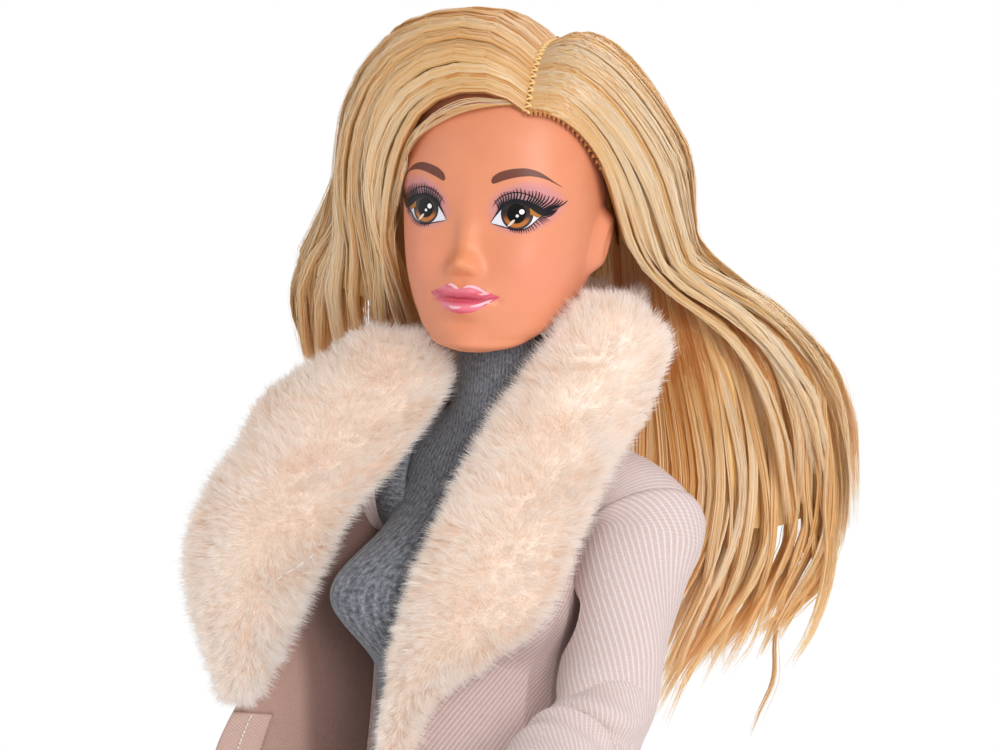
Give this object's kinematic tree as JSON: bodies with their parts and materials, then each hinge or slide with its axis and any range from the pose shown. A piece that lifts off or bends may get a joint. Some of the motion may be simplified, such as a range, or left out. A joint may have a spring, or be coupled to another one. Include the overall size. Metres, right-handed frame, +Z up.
{
  "type": "fashion doll",
  "caption": "Jointed fashion doll with rooted blonde hair, a grey turtleneck sweater and an open beige coat with a wide cream faux-fur shawl collar.",
  "frame": {"origin": "under the middle of the whole doll, on the plane of its boot soles", "axes": "+Z up from the soles to the crown; the doll faces -Y and its left side is +X"},
  "size_m": [0.08, 0.1118, 0.2898],
  "materials": {
    "skin_vinyl": "soft matte vinyl, tan",
    "body_plastic": "hard satin plastic, tan",
    "pin_plastic": "satin",
    "hair_fibre": "glossy synthetic hair, golden blonde",
    "grey_jersey": "fine ribbed heather knit",
    "coat_twill": "fine ribbed cloth, pinkish beige",
    "cream_fur": "long clumped pile, cream",
    "dark_cloth": "smooth knit, charcoal",
    "boot_leather": "satin, dark brown",
    "boot_rubber": "matt"
  },
  "bodies": {
    "torso": {"torso_front": "body_plastic", "torso_back": "body_plastic", "sweater_body": "grey_jersey", "sweater_turtleneck": "grey_jersey", "coat_back": "coat_twill", "coat_front_left": "coat_twill", "coat_front_right": "coat_twill", "lapel_left": "cream_fur", "lapel_right": "cream_fur", "collar_back": "cream_fur", "trouser_yoke": "dark_cloth"},
    "neck_post": {"neck_post": "body_plastic"},
    "head": {"head": "skin_vinyl", "hair_crown": "hair_fibre", "hair_back": "hair_fibre", "hair_left": "hair_fibre", "hair_right": "hair_fibre"},
    "shoulder_disc_left": {"shoulder_disc_left": "body_plastic", "shoulder_pin_left": "pin_plastic"},
    "upper_arm_left": {"upper_arm_left": "body_plastic", "elbow_pin_left": "pin_plastic", "sleeve_upper_left": "coat_twill"},
    "forearm_left": {"forearm_left": "body_plastic", "sleeve_lower_left": "coat_twill"},
    "hand_left": {"hand_left": "body_plastic"},
    "hip_disc_left": {"hip_disc_left": "body_plastic", "hip_pin_left": "pin_plastic"},
    "thigh_left": {"thigh_left": "body_plastic", "knee_pin_left": "pin_plastic", "trouser_thigh_left": "dark_cloth"},
    "shin_left": {"shin_left": "body_plastic", "trouser_shin_left": "dark_cloth", "boot_left": "boot_leather", "boot_sole_left": "boot_rubber"},
    "shoulder_disc_right": {"shoulder_disc_right": "body_plastic", "shoulder_pin_right": "pin_plastic"},
    "upper_arm_right": {"upper_arm_right": "body_plastic", "elbow_pin_right": "pin_plastic", "sleeve_upper_right": "coat_twill"},
    "forearm_right": {"forearm_right": "body_plastic", "sleeve_lower_right": "coat_twill"},
    "hand_right": {"hand_right": "body_plastic"},
    "hip_disc_right": {"hip_disc_right": "body_plastic", "hip_pin_right": "pin_plastic"},
    "thigh_right": {"thigh_right": "body_plastic", "knee_pin_right": "pin_plastic", "trouser_thigh_right": "dark_cloth"},
    "shin_right": {"shin_right": "body_plastic", "trouser_shin_right": "dark_cloth", "boot_right": "boot_leather", "boot_sole_right": "boot_rubber"}
  },
  "joints": [
    {"name": "head_nod", "type": "hinge", "parent": "torso", "child": "neck_post", "pos_m": [-0.0008, 0.0132, 0.23202], "axis": [1, 0, 0], "range_deg": [-6, 6], "deforming": ["sweater_turtleneck"]},
    {"name": "head_turn", "type": "hinge", "parent": "neck_post", "child": "head", "pos_m": [-0.0008, 0.0132, 0.23202], "axis": [0, 0, 1], "range_deg": [-65, 65], "deforming": ["hair_back", "hair_left", "hair_right", "collar_back"]},
    {"name": "shoulder_swing_left", "type": "hinge", "parent": "torso", "child": "shoulder_disc_left", "pos_m": [0.02, 0.0132, 0.2265], "axis": [1, 0, 0], "range_deg": [-85, 80], "deforming": ["lapel_left", "coat_front_left", "coat_back"]},
    {"name": "arm_raise_left", "type": "hinge", "parent": "shoulder_disc_left", "child": "upper_arm_left", "pos_m": [0.02, 0.0132, 0.2265], "axis": [0, 0.8192, -0.5736], "range_deg": [-81, 4], "deforming": ["sleeve_upper_left", "sweater_body"]},
    {"name": "elbow_bend_left", "type": "hinge", "parent": "upper_arm_left", "child": "forearm_left", "pos_m": [0.02258, -0.00797, 0.19626], "axis": [0.9976, 0.04, 0.0571], "range_deg": [-60, 32], "deforming": ["sleeve_lower_left"]},
    {"name": "wrist_turn_left", "type": "hinge", "parent": "forearm_left", "child": "hand_left", "pos_m": [0.02447, -0.03739, 0.18381], "axis": [-0.0592, 0.9193, 0.389], "range_deg": [-90, 90]},
    {"name": "hip_swing_left", "type": "hinge", "parent": "torso", "child": "hip_disc_left", "pos_m": [0.0086, 0.0132, 0.154], "axis": [1, 0, 0], "range_deg": [-80, 22], "deforming": ["trouser_yoke"]},
    {"name": "leg_spread_left", "type": "hinge", "parent": "hip_disc_left", "child": "thigh_left", "pos_m": [0.0086, 0.0132, 0.154], "axis": [0, 1, 0], "range_deg": [-24, 2], "deforming": ["trouser_thigh_left"]},
    {"name": "knee_bend_left", "type": "hinge", "parent": "thigh_left", "child": "shin_left", "pos_m": [0.0086, 0.0132, 0.084], "axis": [1, 0, 0], "range_deg": [0, 90], "deforming": ["trouser_shin_left"]},
    {"name": "shoulder_swing_right", "type": "hinge", "parent": "torso", "child": "shoulder_disc_right", "pos_m": [-0.0216, 0.0132, 0.2265], "axis": [1, 0, 0], "range_deg": [-134, 31], "deforming": ["lapel_right", "coat_front_right"]},
    {"name": "arm_raise_right", "type": "hinge", "parent": "shoulder_disc_right", "child": "upper_arm_right", "pos_m": [-0.0216, 0.0132, 0.2265], "axis": [0, 0.9703, 0.2419], "range_deg": [-7, 78], "deforming": ["sleeve_upper_right"]},
    {"name": "elbow_bend_right", "type": "hinge", "parent": "upper_arm_right", "child": "forearm_right", "pos_m": [-0.02611, 0.02208, 0.19086], "axis": [0.9925, 0.0295, -0.1182], "range_deg": [-78, 14], "deforming": ["sleeve_lower_right"]},
    {"name": "wrist_turn_right", "type": "hinge", "parent": "forearm_right", "child": "hand_right", "pos_m": [-0.02989, 0.02203, 0.15909], "axis": [0.1182, 0.0018, 0.993], "range_deg": [-90, 90]},
    {"name": "hip_swing_right", "type": "hinge", "parent": "torso", "child": "hip_disc_right", "pos_m": [-0.0102, 0.0132, 0.154], "axis": [1, 0, 0], "range_deg": [-80, 22]},
    {"name": "leg_spread_right", "type": "hinge", "parent": "hip_disc_right", "child": "thigh_right", "pos_m": [-0.0102, 0.0132, 0.154], "axis": [0, 1, 0], "range_deg": [-2, 24], "deforming": ["trouser_thigh_right"]},
    {"name": "knee_bend_right", "type": "hinge", "parent": "thigh_right", "child": "shin_right", "pos_m": [-0.0102, 0.0132, 0.084], "axis": [1, 0, 0], "range_deg": [0, 90], "deforming": ["trouser_shin_right"]}
  ]
}
